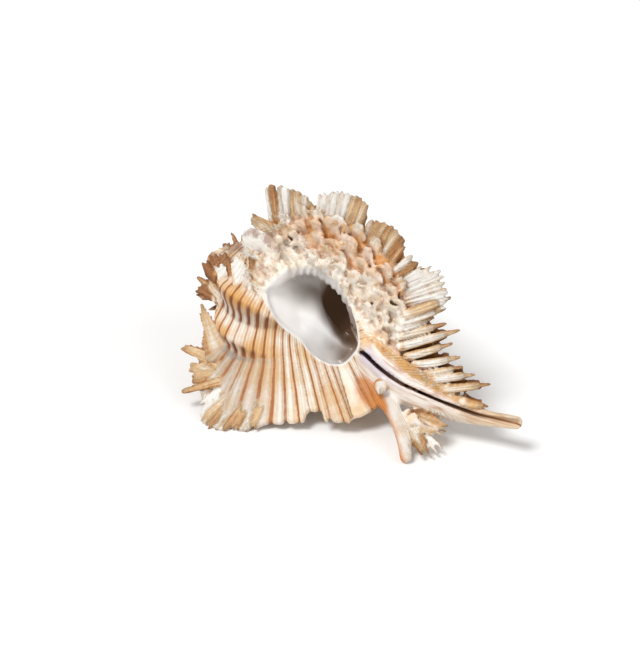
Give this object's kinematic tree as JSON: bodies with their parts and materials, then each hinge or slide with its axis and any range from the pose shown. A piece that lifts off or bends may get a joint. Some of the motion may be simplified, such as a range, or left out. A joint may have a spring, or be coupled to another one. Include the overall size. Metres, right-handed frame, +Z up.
{
  "type": "murex shell",
  "caption": "Spiny murex sea shell with frilled varices, an oval aperture and a long siphonal canal, lying on its side with the outer lip up.",
  "frame": {"origin": "centre of the bounding box, on the surface the shell rests on", "axes": "+X from the apex towards the tip of the siphonal canal, the aperture on the -Y side, +Z up with the outer lip standing"},
  "size_m": [0.088, 0.0568, 0.0503],
  "materials": {
    "shell": "chalky cream white shell with orange-brown spiral cords and a smooth satin white callus"
  },
  "bodies": {
    "root": {"shell": "shell"}
  },
  "joints": []
}
